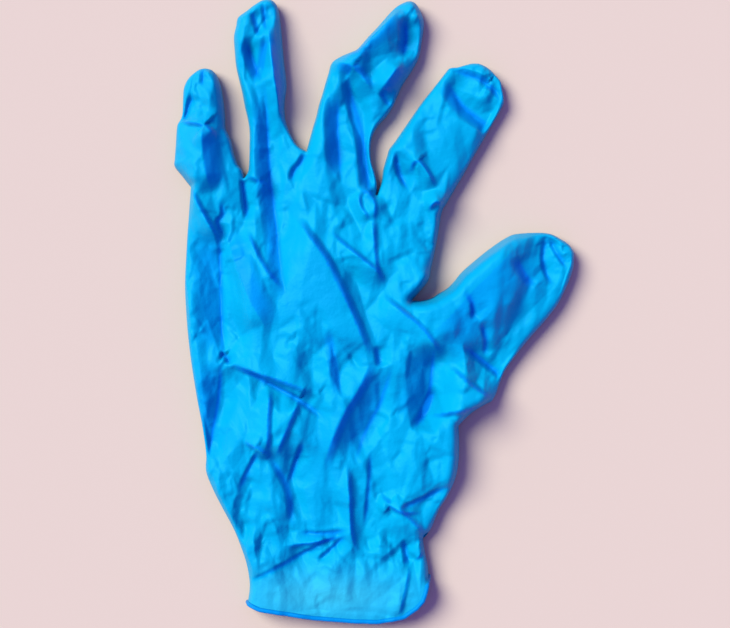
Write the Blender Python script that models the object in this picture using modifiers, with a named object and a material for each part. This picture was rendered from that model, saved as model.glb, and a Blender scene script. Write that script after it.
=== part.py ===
"""A nitrile exam glove lying flat, empty, with its folds: one hollow film, open at the cuff.

The glove lies palm side down on the floor plane, fingers towards +Y and thumb towards +X.
Its film is drawn as strips in plan: four fingers that run down through the palm to the cuff,
and a thumb that leaves the palm's side. The upper film is a pillow over that plan with the
folds pressed into it, the lower film lies flat, and both meet along the outline.
"""

import math
from typing import NamedTuple

import bmesh
import bpy
import numpy as np

MM = 0.001

# Film and bead, and how far the bead stays above the floor plane that the film lies on
WALL = 1.0 * MM
BEAD_RADIUS = 1.3 * MM
BEAD_CLEARANCE = 0.15 * MM

# Palm and cuff, measured flat
PALM_WIDTH = 106.0 * MM
PALM_LENGTH = 170.0 * MM
PALM_DEPTH = 17.0 * MM
CUFF_DEPTH = 10.0 * MM

# Digits, measured flat from the root to the tip and across the root
LITTLE_LENGTH = 48.0 * MM
LITTLE_WIDTH = 20.0 * MM
RING_LENGTH = 67.8 * MM
RING_WIDTH = 18.0 * MM
MIDDLE_LENGTH = 72.8 * MM
MIDDLE_WIDTH = 22.0 * MM
INDEX_LENGTH = 61.5 * MM
INDEX_WIDTH = 24.0 * MM
THUMB_LENGTH = 65.0 * MM
THUMB_WIDTH = 38.0 * MM
FINGER_DEPTH = 12.5 * MM
THUMB_DEPTH = 12.0 * MM

# How the film turns over along the outline
EDGE_HEIGHT = 3.0 * MM
EDGE_ROLL = 9.0 * MM
LEAST_DEPTH = 7.2 * MM

# Points closer than this are one
WELD = 0.01 * MM

# Shares across a strip, close together at its two edges
ACROSS_FINGER = (0.0, 0.07, 0.22, 0.4, 0.6, 0.78, 0.93, 1.0)
ACROSS_THUMB = (0.0, 0.04, 0.12, 0.22, 0.34, 0.46, 0.58, 0.7, 0.82, 0.93, 1.0)
PALM_ROW_STEP = 0.5
DIGIT_ROW_STEP = 1.0

# Palm edges from the cuff to the knuckles. Each row holds the side's place across, as a share
# of the palm width from its middle, and up, as a share of the palm length from the cuff.
PALM_LEFT = (
    # across, up
    (-0.275, 0.040),
    (-0.268, 0.080),
    (-0.280, 0.128),
    (-0.307, 0.178),
    (-0.332, 0.214),
    (-0.370, 0.258),
    (-0.403, 0.299),
    (-0.428, 0.340),
    (-0.428, 0.378),
    (-0.441, 0.440),
    (-0.459, 0.500),
    (-0.472, 0.550),
    (-0.484, 0.600),
    (-0.494, 0.655),
    (-0.500, 0.705),
    (-0.504, 0.752),
    (-0.504, 0.790),
    (-0.501, 0.830),
    (-0.497, 0.875),
    (-0.491, 0.925),
    (-0.484, 0.987),
)
PALM_RIGHT_BELOW_THUMB = (
    # across, up
    (0.388, 0.099),
    (0.385, 0.122),
    (0.372, 0.163),
    (0.370, 0.190),
    (0.396, 0.207),
    (0.427, 0.252),
    (0.460, 0.285),
    (0.491, 0.333),
    (0.500, 0.388),
    (0.498, 0.443),
)
PALM_RIGHT_ABOVE_THUMB = (
    # across, up
    (0.328, 0.729),
    (0.385, 0.772),
    (0.397, 0.803),
    (0.410, 0.838),
    (0.422, 0.877),
    (0.432, 0.919),
)
# Height of the upper film along the palm, as a share from the cuff's depth to the palm's.
PALM_CROWN = (
    # row, share
    (0, 0.0),
    (4, 0.15),
    (7, 0.6),
    (11, 1.0),
    (15, 1.0),
    (20, 0.75),
)
# The cuff's mouth below the line between its corners, as a share of the palm length.
MOUTH = (
    # across, drop
    (0.0, 0.0),
    (0.07, 0.016),
    (0.37, 0.053),
    (0.58, 0.072),
    (0.72, 0.082),
    (0.86, 0.080),
    (0.93, 0.064),
    (0.97, 0.047),
    (1.0, 0.0),
)
# The crotches above the line between the outer finger roots, as a share of the palm length.
KNUCKLES = (
    # across, rise
    (0.0, 0.0),
    (0.215, 0.036),
    (0.463, 0.114),
    (0.744, 0.033),
    (1.0, 0.0),
)
# Rows over which the mouth's drop, the knuckles' rise and the thumb's own depth take over.
MOUTH_FADE_ROWS = 6.0
KNUCKLE_FADE_ROWS = 7.0
THUMB_FADE_ROWS = 4.0


# Bright blue nitrile, satin as it leaves the former
FILM_COLOUR = (0.0, 0.33, 0.82, 1.0)
FILM_ROUGHNESS = 0.42


class Digit(NamedTuple):
    """A finger or the thumb: its frame on the palm, its sizes and the rows of its outline.

    root is the frame's place as shares of the palm's width and length, and turn is its
    direction in degrees from +X. Each outline row gives the left and right edge, along as a
    share of the length and across as a share of the width, positive to the left.
    """

    root: tuple
    turn: float
    length: float
    width: float
    depth: float
    rows: tuple


LITTLE = Digit(
    root=(-0.393, 0.975),
    turn=94.4,
    length=LITTLE_LENGTH,
    width=LITTLE_WIDTH,
    depth=FINGER_DEPTH,
    rows=(
        # left along, left across, right along, right across, bow
        (0.15, 0.620, 0.17, -0.545, 0.0),
        (0.235, 0.755, 0.21, -0.475, 0.0),
        (0.30, 0.740, 0.30, -0.415, 0.0),
        (0.40, 0.705, 0.40, -0.380, 0.0),
        (0.49, 0.675, 0.46, -0.335, 0.0),
        (0.565, 0.640, 0.51, -0.290, 0.0),
        (0.61, 0.565, 0.58, -0.292, 0.0),
        (0.66, 0.525, 0.66, -0.295, 0.0),
        (0.75, 0.500, 0.75, -0.285, 0.0),
        (0.84, 0.470, 0.84, -0.265, 0.0),
        (0.90, 0.410, 0.90, -0.235, 0.0),
        (0.95, 0.310, 0.95, -0.190, 0.0),
        (0.985, 0.190, 0.985, -0.120, 0.02),
    ),
)
RING = Digit(
    root=(-0.172, 1.016),
    turn=93.0,
    length=RING_LENGTH,
    width=RING_WIDTH,
    depth=FINGER_DEPTH,
    rows=(
        # left along, left across, right along, right across, bow
        (0.03, 0.590, 0.145, -0.560, 0.0),
        (0.09, 0.560, 0.17, -0.470, 0.0),
        (0.16, 0.540, 0.21, -0.390, 0.0),
        (0.25, 0.520, 0.26, -0.315, 0.0),
        (0.32, 0.540, 0.33, -0.260, 0.0),
        (0.40, 0.595, 0.41, -0.270, 0.0),
        (0.48, 0.635, 0.49, -0.325, 0.0),
        (0.55, 0.685, 0.55, -0.325, 0.0),
        (0.63, 0.735, 0.63, -0.305, 0.0),
        (0.72, 0.750, 0.72, -0.290, 0.0),
        (0.80, 0.750, 0.80, -0.280, 0.0),
        (0.86, 0.690, 0.86, -0.270, 0.0),
        (0.905, 0.640, 0.915, -0.255, 0.0),
        (0.94, 0.450, 0.955, -0.225, 0.0),
        (0.968, 0.300, 0.98, -0.180, 0.0),
        (0.988, 0.170, 0.994, -0.120, 0.01),
    ),
)
MIDDLE = Digit(
    root=(0.074, 1.011),
    turn=68.2,
    length=MIDDLE_LENGTH,
    width=MIDDLE_WIDTH,
    depth=FINGER_DEPTH,
    rows=(
        # left along, left across, right along, right across, bow
        (0.14, 0.800, 0.03, -0.610, 0.0),
        (0.20, 0.820, 0.08, -0.500, 0.0),
        (0.25, 0.835, 0.125, -0.380, 0.0),
        (0.31, 0.865, 0.18, -0.285, 0.0),
        (0.37, 0.880, 0.25, -0.220, 0.0),
        (0.425, 0.900, 0.32, -0.240, 0.0),
        (0.48, 0.915, 0.38, -0.315, 0.0),
        (0.54, 0.930, 0.445, -0.360, 0.0),
        (0.585, 0.840, 0.51, -0.365, 0.0),
        (0.63, 0.690, 0.57, -0.375, 0.0),
        (0.655, 0.610, 0.615, -0.405, 0.0),
        (0.70, 0.550, 0.66, -0.435, 0.0),
        (0.745, 0.500, 0.70, -0.455, 0.0),
        (0.80, 0.425, 0.75, -0.460, 0.0),
        (0.86, 0.355, 0.82, -0.410, 0.0),
        (0.905, 0.300, 0.88, -0.365, 0.0),
        (0.945, 0.235, 0.93, -0.305, 0.0),
        (0.975, 0.155, 0.965, -0.210, 0.0),
        (0.992, 0.095, 0.987, -0.125, 0.012),
    ),
)
INDEX = Digit(
    root=(0.319, 0.943),
    turn=58.3,
    length=INDEX_LENGTH,
    width=INDEX_WIDTH,
    depth=FINGER_DEPTH,
    rows=(
        # left along, left across, right along, right across, bow
        (0.035, 0.595, 0.09, -0.480, 0.0),
        (0.10, 0.670, 0.14, -0.480, 0.0),
        (0.155, 0.715, 0.19, -0.475, 0.0),
        (0.20, 0.745, 0.235, -0.475, 0.0),
        (0.24, 0.770, 0.275, -0.470, 0.0),
        (0.30, 0.755, 0.32, -0.470, 0.0),
        (0.38, 0.745, 0.39, -0.465, 0.0),
        (0.46, 0.735, 0.465, -0.455, 0.0),
        (0.54, 0.725, 0.54, -0.450, 0.0),
        (0.62, 0.710, 0.62, -0.445, 0.0),
        (0.70, 0.685, 0.70, -0.440, 0.0),
        (0.785, 0.660, 0.78, -0.435, 0.0),
        (0.84, 0.645, 0.835, -0.427, 0.0),
        (0.875, 0.625, 0.872, -0.412, 0.0),
        (0.90, 0.540, 0.905, -0.350, 0.0),
        (0.935, 0.455, 0.94, -0.270, 0.0),
        (0.97, 0.365, 0.972, -0.185, 0.0),
        (0.993, 0.270, 0.988, -0.050, 0.01),
    ),
)
THUMB = Digit(
    root=(0.451, 0.599),
    turn=40.3,
    length=THUMB_LENGTH,
    width=THUMB_WIDTH,
    depth=THUMB_DEPTH,
    rows=(
        # left along, left across, right along, right across, bow
        (0.11, 0.600, -0.10, -0.605, 0.0),
        (0.165, 0.555, 0.00, -0.630, 0.0),
        (0.21, 0.545, 0.04, -0.645, 0.0),
        (0.27, 0.527, 0.09, -0.615, 0.0),
        (0.33, 0.535, 0.15, -0.555, 0.0),
        (0.40, 0.557, 0.22, -0.495, 0.0),
        (0.50, 0.560, 0.35, -0.440, 0.0),
        (0.59, 0.557, 0.46, -0.405, 0.0),
        (0.67, 0.547, 0.555, -0.383, 0.0),
        (0.73, 0.533, 0.64, -0.358, 0.0),
        (0.78, 0.510, 0.72, -0.325, 0.0),
        (0.83, 0.455, 0.80, -0.268, 0.0),
        (0.88, 0.390, 0.87, -0.207, 0.0),
        (0.93, 0.315, 0.925, -0.145, 0.0),
        (0.96, 0.245, 0.955, -0.095, 0.0),
        (0.985, 0.130, 0.985, -0.040, 0.01),
    ),
)
FINGERS = (LITTLE, RING, MIDDLE, INDEX)


class Fold(NamedTuple):
    """A ridge, or a valley where its height is negative, on the upper film.

    Its ends are shares of the digit's length and width, or of the palm's length and width
    where digit is None. bow is a share of its own length, height a share of the depth there,
    and the widths of its left and right flanks are shares of that digit's or palm's width.
    """

    digit: Digit
    start: tuple
    end: tuple
    bow: float
    height: float
    left: float
    right: float


FOLDS = (
    # digit, start (along, across), end (along, across), bow, height, left, right
    Fold(LITTLE, (0.60, 0.50), (0.84, 0.15), 0.05, -0.22, 0.30, 0.30),
    Fold(LITTLE, (0.58, 0.55), (0.46, 0.00), 0.05, 0.18, 0.30, 0.30),
    Fold(LITTLE, (0.05, 0.40), (-0.35, -0.15), 0.05, 0.18, 0.30, 0.45),
    Fold(RING, (0.62, 0.30), (-0.02, 0.13), 0.02, -0.30, 0.42, 0.22),
    Fold(RING, (0.80, 0.62), (0.56, 0.33), 0.05, -0.22, 0.25, 0.30),
    Fold(RING, (0.82, 0.03), (0.56, 0.18), 0.05, -0.22, 0.30, 0.25),
    Fold(RING, (0.90, 0.10), (0.35, -0.12), -0.05, 0.16, 0.25, 0.35),
    Fold(MIDDLE, (0.56, 0.72), (0.97, 0.08), 0.04, 0.20, 0.20, 0.60),
    Fold(MIDDLE, (0.54, 0.66), (0.42, 0.02), 0.08, 0.20, 0.30, 0.30),
    Fold(MIDDLE, (0.50, 0.50), (-0.08, -0.50), -0.10, -0.26, 0.25, 0.30),
    Fold(MIDDLE, (0.44, 0.05), (0.62, -0.15), 0.00, 0.16, 0.22, 0.22),
    Fold(INDEX, (0.80, 0.60), (0.66, -0.40), -0.12, -0.24, 0.25, 0.25),
    Fold(INDEX, (0.90, 0.50), (0.86, -0.35), 0.10, 0.16, 0.22, 0.22),
    Fold(INDEX, (0.24, 0.24), (0.05, -0.42), -0.08, 0.24, 0.22, 0.22),
    Fold(INDEX, (0.30, 0.55), (0.05, 0.20), -0.20, -0.20, 0.22, 0.30),
    Fold(THUMB, (0.44, 0.52), (0.16, -0.52), 0.10, -0.22, 0.18, 0.26),
    Fold(THUMB, (0.97, 0.18), (0.70, -0.05), 0.10, -0.16, 0.14, 0.14),
    Fold(THUMB, (-0.16, -0.55), (0.10, -0.62), 0.10, 0.15, 0.14, 0.14),
    Fold(None, (1.02, -0.205), (0.78, -0.150), 0.02, -0.20, 0.060, 0.040),
    Fold(None, (0.93, -0.120), (0.58, 0.190), 0.04, 0.22, 0.110, 0.050),
    Fold(None, (0.60, 0.200), (0.35, -0.030), -0.05, 0.20, 0.060, 0.090),
    Fold(None, (0.87, -0.345), (0.64, -0.190), 0.06, 0.18, 0.070, 0.070),
    Fold(None, (0.80, -0.400), (0.40, -0.400), 0.04, -0.22, 0.080, 0.050),
    Fold(None, (0.58, -0.350), (0.51, -0.020), 0.06, 0.18, 0.055, 0.060),
    Fold(None, (0.55, -0.185), (0.36, -0.205), 0.02, 0.16, 0.055, 0.055),
    Fold(None, (0.39, -0.200), (0.20, -0.090), -0.08, -0.22, 0.060, 0.050),
    Fold(None, (0.37, 0.090), (0.15, 0.115), 0.02, 0.18, 0.050, 0.055),
    Fold(None, (0.19, 0.030), (0.08, -0.260), 0.05, -0.20, 0.045, 0.050),
    Fold(None, (0.89, 0.020), (0.76, 0.240), 0.04, 0.16, 0.045, 0.050),
    Fold(None, (0.75, 0.200), (0.58, 0.450), 0.04, 0.20, 0.050, 0.060),
    Fold(None, (0.60, 0.325), (0.42, 0.325), 0.04, -0.20, 0.050, 0.055),
    Fold(None, (0.48, 0.370), (0.49, 0.640), 0.03, 0.16, 0.045, 0.050),
    Fold(None, (0.27, 0.270), (0.31, 0.470), 0.03, -0.18, 0.045, 0.050),
    Fold(None, (0.14, 0.300), (0.00, 0.260), 0.03, -0.20, 0.050, 0.045),
)
# The share of a fold's length over which each end dies away, and how sharp its crest is.
FOLD_TAPER = 0.3
FOLD_CREST = 1.5


def clear_scene():
    """Removes every object there is."""
    for obj in list(bpy.data.objects):
        bpy.data.objects.remove(obj, do_unlink=True)


def smooth(share):
    """Eased 0 to 1, level at both ends."""
    share = np.clip(share, 0.0, 1.0)
    return share * share * (3.0 - 2.0 * share)


def between(rows, at):
    """A table's values at a fractional row number, on a smooth curve through its rows."""
    first = min(int(at), len(rows) - 2)
    share = at - first
    places = [min(max(first + step, 0), len(rows) - 1) for step in (-1, 0, 1, 2)]
    before, start, end, after = (np.array(rows[place], float) for place in places)
    bend = 2.0 * before - 5.0 * start + 4.0 * end - after
    twist = 3.0 * (start - end) + after - before
    return start + 0.5 * share * ((end - before) + share * (bend + share * twist))


def listed(table, at):
    """The second column of a table at a place in its first column."""
    return np.interp(at, [row[0] for row in table], [row[1] for row in table])


def palm_place(across, up):
    """The plan point at shares of the palm's width and length."""
    return np.array([across * PALM_WIDTH, up * PALM_LENGTH])


PALM_ROWS = len(PALM_LEFT) - 1
THUMB_START = len(PALM_RIGHT_BELOW_THUMB) - 1
THUMB_END = PALM_ROWS - (len(PALM_RIGHT_ABOVE_THUMB) - 1)


def palm_edges(row):
    """The plan points at the palm's left and right edge in a row counted from the cuff."""
    left = palm_place(*between(PALM_LEFT, row))
    if row <= THUMB_START:
        return left, palm_place(*between(PALM_RIGHT_BELOW_THUMB, row))
    if row >= THUMB_END:
        return left, palm_place(*between(PALM_RIGHT_ABOVE_THUMB, row - THUMB_END))
    low = palm_place(*PALM_RIGHT_BELOW_THUMB[-1])
    high = palm_place(*PALM_RIGHT_ABOVE_THUMB[0])
    share = (row - THUMB_START) / (THUMB_END - THUMB_START)
    return left, low + share * (high - low)


def palm_point(across, row):
    """The plan point at a share across the palm in a row counted from the cuff."""
    left, right = palm_edges(row)
    drop = listed(MOUTH, across) * (1.0 - smooth(row / MOUTH_FADE_ROWS))
    rise = listed(KNUCKLES, across) * smooth(1.0 - (PALM_ROWS - row) / KNUCKLE_FADE_ROWS)
    return left + across * (right - left) + np.array([0.0, (rise - drop) * PALM_LENGTH])


def palm_depth(across, row):
    """Height of the upper film inside the palm, easing to the fingers' at the knuckles."""
    palm = CUFF_DEPTH + listed(PALM_CROWN, row) * (PALM_DEPTH - CUFF_DEPTH)
    to_fingers = smooth(1.0 - (PALM_ROWS - row) / KNUCKLE_FADE_ROWS)
    return palm + to_fingers * (FINGER_DEPTH - palm)


def digit_place(digit, along, across):
    """The plan point at shares of a digit's length and width, or of the palm's if it is None."""
    if digit is None:
        return palm_place(across, along)
    turn = math.radians(digit.turn)
    ahead = np.array([math.cos(turn), math.sin(turn)])
    left = np.array([-math.sin(turn), math.cos(turn)])
    return palm_place(*digit.root) + ahead * along * digit.length + left * across * digit.width


def digit_rows(digit, root_left, root_right):
    """A digit's outline rows as plan points, after a first row on its root line."""
    rows = [(*root_left, *root_right, 0.0)]
    for left_along, left_across, right_along, right_across, bow in digit.rows:
        left = digit_place(digit, left_along, left_across)
        right = digit_place(digit, right_along, right_across)
        rows.append((*left, *right, bow * digit.length))
    return rows


def digit_point(digit, rows, across, row):
    """The plan point at a share across a digit, from its left edge, in a row from its root."""
    values = between(rows, row)
    left, right, bow = values[:2], values[2:4], values[4]
    turn = math.radians(digit.turn)
    ahead = np.array([math.cos(turn), math.sin(turn)])
    return left + across * (right - left) + ahead * bow * 4.0 * across * (1.0 - across)


def steps(first, last, step):
    """Row numbers from first to last, evenly spaced."""
    return np.linspace(first, last, round((last - first) / step) + 1)


def add_strip(plan, depth_layer, mouth_layer, columns, rows, point, depth):
    """Adds one strip of the plan as a grid whose corners are moved to their plan points."""
    made = bmesh.ops.create_grid(
        plan, x_segments=len(columns) - 1, y_segments=len(rows) - 1, size=1.0
    )
    for vert in made["verts"]:
        across = columns[round((vert.co.x + 1.0) / 2.0 * (len(columns) - 1))]
        row = rows[round((vert.co.y + 1.0) / 2.0 * (len(rows) - 1))]
        vert.co.x, vert.co.y = point(across, row)
        vert[depth_layer] = depth(across, row)
        vert[mouth_layer] = 1 if point is palm_point and row == 0.0 else 0


def build_plan():
    """The whole glove in plan as one sheet of strips, with each corner's depth kept on it."""
    plan = bmesh.new()
    depth_layer = plan.verts.layers.float.new("depth")
    mouth_layer = plan.verts.layers.int.new("mouth")
    crotches = [row[0] for row in KNUCKLES]
    columns = [0.0]
    for low, high in zip(crotches, crotches[1:]):
        columns += [low + share * (high - low) for share in ACROSS_FINGER[1:]]
    beside_thumb = [THUMB_START + share * (THUMB_END - THUMB_START) for share in ACROSS_THUMB]
    palm_rows = [
        *steps(0, THUMB_START, PALM_ROW_STEP)[:-1],
        *beside_thumb,
        *steps(THUMB_END, PALM_ROWS, PALM_ROW_STEP)[1:],
    ]
    add_strip(plan, depth_layer, mouth_layer, columns, palm_rows, palm_point, palm_depth)

    for finger, low, high in zip(FINGERS, crotches, crotches[1:]):
        rows = digit_rows(finger, palm_point(low, PALM_ROWS), palm_point(high, PALM_ROWS))
        add_strip(
            plan,
            depth_layer,
            mouth_layer,
            ACROSS_FINGER,
            steps(0, len(rows) - 1, DIGIT_ROW_STEP),
            lambda across, row, digit=finger, rows=rows: digit_point(digit, rows, across, row),
            lambda across, row, digit=finger: digit.depth,
        )

    rows = digit_rows(THUMB, palm_edges(THUMB_END)[1], palm_edges(THUMB_START)[1])

    def thumb_depth(across, row):
        at_root = palm_depth(1.0, THUMB_END - across * (THUMB_END - THUMB_START))
        return at_root + smooth(row / THUMB_FADE_ROWS) * (THUMB.depth - at_root)

    add_strip(
        plan,
        depth_layer,
        mouth_layer,
        [1.0 - share for share in reversed(ACROSS_THUMB)],
        steps(0, len(rows) - 1, DIGIT_ROW_STEP),
        lambda across, row: digit_point(THUMB, rows, across, row),
        thumb_depth,
    )
    bmesh.ops.remove_doubles(plan, verts=plan.verts, dist=WELD)
    return plan, depth_layer, mouth_layer


def outline_distance(points, ends):
    """Distance from each plan point to the nearest stretch of the outline."""
    nearest = np.full(len(points), np.inf)
    for start, end in ends:
        along = end - start
        share = np.clip((points - start) @ along / (along @ along), 0.0, 1.0)
        gap = points - start - share[:, None] * along
        nearest = np.minimum(nearest, np.hypot(gap[:, 0], gap[:, 1]))
    return nearest


def fold_heights(points, depths):
    """What the folds add to the upper film at each plan point."""
    total = np.zeros(len(points))
    for fold in FOLDS:
        start = digit_place(fold.digit, *fold.start)
        chord = digit_place(fold.digit, *fold.end) - start
        length = np.hypot(*chord)
        along = (points - start) @ chord / length**2
        off = (points - start) @ np.array([-chord[1], chord[0]]) / length
        off = off - fold.bow * length * 4.0 * along * (1.0 - along)
        width = PALM_WIDTH if fold.digit is None else fold.digit.width
        flank = np.where(off > 0.0, fold.left, fold.right) * width
        crest = np.clip(1.0 - np.abs(off) / flank, 0.0, 1.0) ** FOLD_CREST
        taper = smooth(np.minimum(along, 1.0 - along) / FOLD_TAPER)
        total += fold.height * depths * crest * taper
    return total


def join_flat_faces(film):
    """Makes one face of all that lies flat on the floor plane, but for the row at the mouth."""
    flat = {
        face
        for face in film.faces
        if all(vert.co.z == 0.0 and not vert.is_boundary for vert in face.verts)
    }
    inner = [edge for edge in film.edges if len(flat.intersection(edge.link_faces)) == 2]
    bmesh.ops.dissolve_edges(film, edges=inner, use_verts=False)


def build_film():
    """The film's outer face: the upper and the lower sheet, joined along the outline."""
    plan, depth_layer, mouth_layer = build_plan()
    plan.verts.index_update()
    points = np.array([vert.co[:2] for vert in plan.verts])
    depths = np.array([vert[depth_layer] for vert in plan.verts])
    outline = [
        edge
        for edge in plan.edges
        if edge.is_boundary and not all(vert[mouth_layer] for vert in edge.verts)
    ]
    ends = [[np.array(vert.co[:2]) for vert in edge.verts] for edge in outline]
    rim = {vert.index for edge in outline for vert in edge.verts}

    inward = outline_distance(points, ends)
    inward[list(rim)] = 0.0
    roll = np.sqrt(1.0 - (1.0 - np.clip(inward / EDGE_ROLL, 0.0, 1.0)) ** 2)
    folds = fold_heights(points, depths) * smooth(inward / EDGE_ROLL)
    body = np.maximum(depths + folds, LEAST_DEPTH)
    upper = EDGE_HEIGHT + (body - EDGE_HEIGHT) * roll
    tuck = np.sqrt(1.0 - (1.0 - np.clip(inward / EDGE_HEIGHT, 0.0, 1.0)) ** 2)
    lower = EDGE_HEIGHT * (1.0 - tuck)

    originals = list(plan.verts)
    made = bmesh.ops.duplicate(plan, geom=originals + list(plan.edges) + list(plan.faces))
    seams = []
    for place, vert in enumerate(originals):
        copied = made["vert_map"][vert]
        vert.co.z = upper[place]
        copied.co.z = lower[place]
        if place in rim:
            seams += [vert, copied]
    bmesh.ops.remove_doubles(plan, verts=seams, dist=WELD)
    bmesh.ops.recalc_face_normals(plan, faces=plan.faces)
    join_flat_faces(plan)
    return plan


def build_mouth_path(film):
    """The points along the cuff's open edge, in order round it."""
    edges = [edge for edge in film.edges if edge.is_boundary]
    start = edges[0].verts[0]
    path, previous, here = [start.co.copy()], None, start
    while True:
        ahead = [edge for edge in here.link_edges if edge.is_boundary and edge is not previous]
        previous = ahead[0]
        here = previous.other_vert(here)
        if here is start:
            return path
        path.append(here.co.copy())


def build_bead(path, collection):
    """The rolled bead along the cuff's mouth, as a closed tube."""
    curve = bpy.data.curves.new("cuff_bead_path", "CURVE")
    curve.dimensions = "3D"
    curve.bevel_depth = BEAD_RADIUS
    curve.bevel_resolution = 1
    curve.twist_mode = "MINIMUM"
    spline = curve.splines.new("POLY")
    spline.points.add(len(path) - 1)
    for point, place in zip(spline.points, path):
        lift = max(place.z, BEAD_RADIUS + BEAD_CLEARANCE)
        point.co = (place.x, place.y, lift, 1.0)
    spline.use_cyclic_u = True
    drawn = bpy.data.objects.new("cuff_bead_path", curve)
    collection.objects.link(drawn)
    bpy.context.view_layer.update()
    graph = bpy.context.evaluated_depsgraph_get()
    mesh = bpy.data.meshes.new_from_object(drawn.evaluated_get(graph))
    bead = bpy.data.objects.new("cuff_bead", mesh)
    bead.matrix_world = drawn.matrix_world
    collection.objects.link(bead)
    bpy.data.objects.remove(drawn, do_unlink=True)
    bead.hide_render = True
    bead.display_type = "WIRE"
    return bead


def nitrile():
    """The film's material."""
    material = bpy.data.materials.new("nitrile_film")
    material.use_nodes = True
    shader = material.node_tree.nodes["Principled BSDF"]
    shader.inputs["Base Color"].default_value = FILM_COLOUR
    shader.inputs["Roughness"].default_value = FILM_ROUGHNESS
    shader.inputs["Metallic"].default_value = 0.0
    material.diffuse_color = FILM_COLOUR
    return material


def stand_on_origin(objects, measured):
    """Moves the objects together so that the measured one's box stands centred on the origin."""
    bpy.context.view_layer.update()
    corners = measured.evaluated_get(bpy.context.evaluated_depsgraph_get()).bound_box
    low, high = np.min(corners, axis=0), np.max(corners, axis=0)
    for obj in objects:
        obj.location = (-(low[0] + high[0]) / 2.0, -(low[1] + high[1]) / 2.0, -low[2])
    bpy.context.view_layer.update()


def add_collection(name):
    """A new collection in the scene."""
    collection = bpy.data.collections.new(name)
    bpy.context.scene.collection.children.link(collection)
    return collection


def main():
    """Builds the glove and the bead that is joined to it."""
    clear_scene()
    parts = add_collection("exam_glove")
    cutters = add_collection("joined_shapes")

    film = build_film()
    path = build_mouth_path(film)
    mesh = bpy.data.meshes.new("glove")
    film.to_mesh(mesh)
    film.free()
    mesh.shade_smooth()
    mesh.materials.append(nitrile())
    glove = bpy.data.objects.new("glove", mesh)
    parts.objects.link(glove)

    wall = glove.modifiers.new("wall", "SOLIDIFY")
    wall.thickness = WALL
    wall.offset = -1.0
    wall.use_quality_normals = True
    cuff_bead = build_bead(path, cutters)
    bead = glove.modifiers.new("bead", "BOOLEAN")
    bead.operation = "UNION"
    bead.solver = "EXACT"
    bead.object = cuff_bead
    stand_on_origin([glove, cuff_bead], glove)


main()
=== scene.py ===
"""A blue nitrile exam glove lying flat and empty, dressed for its photograph.

The glove is one hollow film with a rolled bead round its open cuff. Its plan is drawn as strips,
four fingers that run down through the palm and a thumb at the palm's side. The upper film is a
pillow over that plan with each fold of the photograph pressed into it, and the lower film lies on
the floor. Lengths are in millimetres until a mesh is made.
"""

import logging
import math
import random
from collections.abc import Callable
from dataclasses import dataclass, field
from enum import Enum
from functools import partial
from typing import NamedTuple

import bmesh
import bpy
import numpy as np
from mathutils import Matrix, Vector
from mathutils.geometry import delaunay_2d_cdt


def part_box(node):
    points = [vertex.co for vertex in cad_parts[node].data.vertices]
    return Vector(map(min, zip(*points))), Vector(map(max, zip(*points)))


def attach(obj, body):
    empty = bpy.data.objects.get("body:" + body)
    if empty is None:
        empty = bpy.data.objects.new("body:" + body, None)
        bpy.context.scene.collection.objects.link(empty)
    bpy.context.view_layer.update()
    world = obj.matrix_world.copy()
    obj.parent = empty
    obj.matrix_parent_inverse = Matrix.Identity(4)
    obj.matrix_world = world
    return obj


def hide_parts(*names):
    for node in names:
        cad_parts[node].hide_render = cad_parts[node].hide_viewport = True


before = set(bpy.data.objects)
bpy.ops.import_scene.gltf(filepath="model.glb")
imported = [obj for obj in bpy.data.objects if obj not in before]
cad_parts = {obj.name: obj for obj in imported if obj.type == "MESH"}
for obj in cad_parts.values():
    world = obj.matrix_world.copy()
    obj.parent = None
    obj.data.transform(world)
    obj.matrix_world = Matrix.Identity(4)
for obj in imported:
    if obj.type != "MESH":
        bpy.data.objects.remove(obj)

LOG = logging.getLogger("exam_glove")
MM = 0.001
# Points nearer than the first, in millimetres, are one point, and a share below the second is none.
SAME_PLACE = 0.01
NO_SHARE = 1e-6

# Gives the points and depths across one row of a strip, from shares across it and the row.
Line = Callable[[np.ndarray, float], tuple[np.ndarray, np.ndarray]]

# Places on the photograph are millimetres right and up of a point in the palm, which lies here
# in the plan, whose own zero is in the middle of the cuff.
PHOTO_ZERO = (20.8, 119.8)


class Rows(NamedTuple):
    """Over how many rows of the palm or thumb each form gives way to the next."""

    mouth: float = 6.0
    knuckle: float = 7.0
    thumb: float = 4.0


class Lean(NamedTuple):
    """How the small creases turn from the fingers' direction to the thumb's, in degrees from +X.

    The turn starts at start across the photograph and is done width further on.
    """

    fingers: float = 100.0
    change: float = 45.0
    start: float = -20.0
    width: float = 90.0


class Facets(NamedTuple):
    """One size of facets: the least distance between their corners, and how far these go up or down."""

    spacing: float
    wave: float


class PalePatch(NamedTuple):
    """The patch of the cuff that shows paler, with its middle and half widths on the photograph."""

    share: float = 0.85
    across: float = -20.0
    up: float = -110.0
    half_width: float = 30.0
    half_length: float = 9.0


class Fold(NamedTuple):
    """A crease of the film along a path on the photograph.

    height is the crest's, or the valley's where it is negative, and lit and away are the widths
    of its flanks towards the window light and away from it.
    """

    height: float
    lit: float
    away: float
    path: tuple


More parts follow.
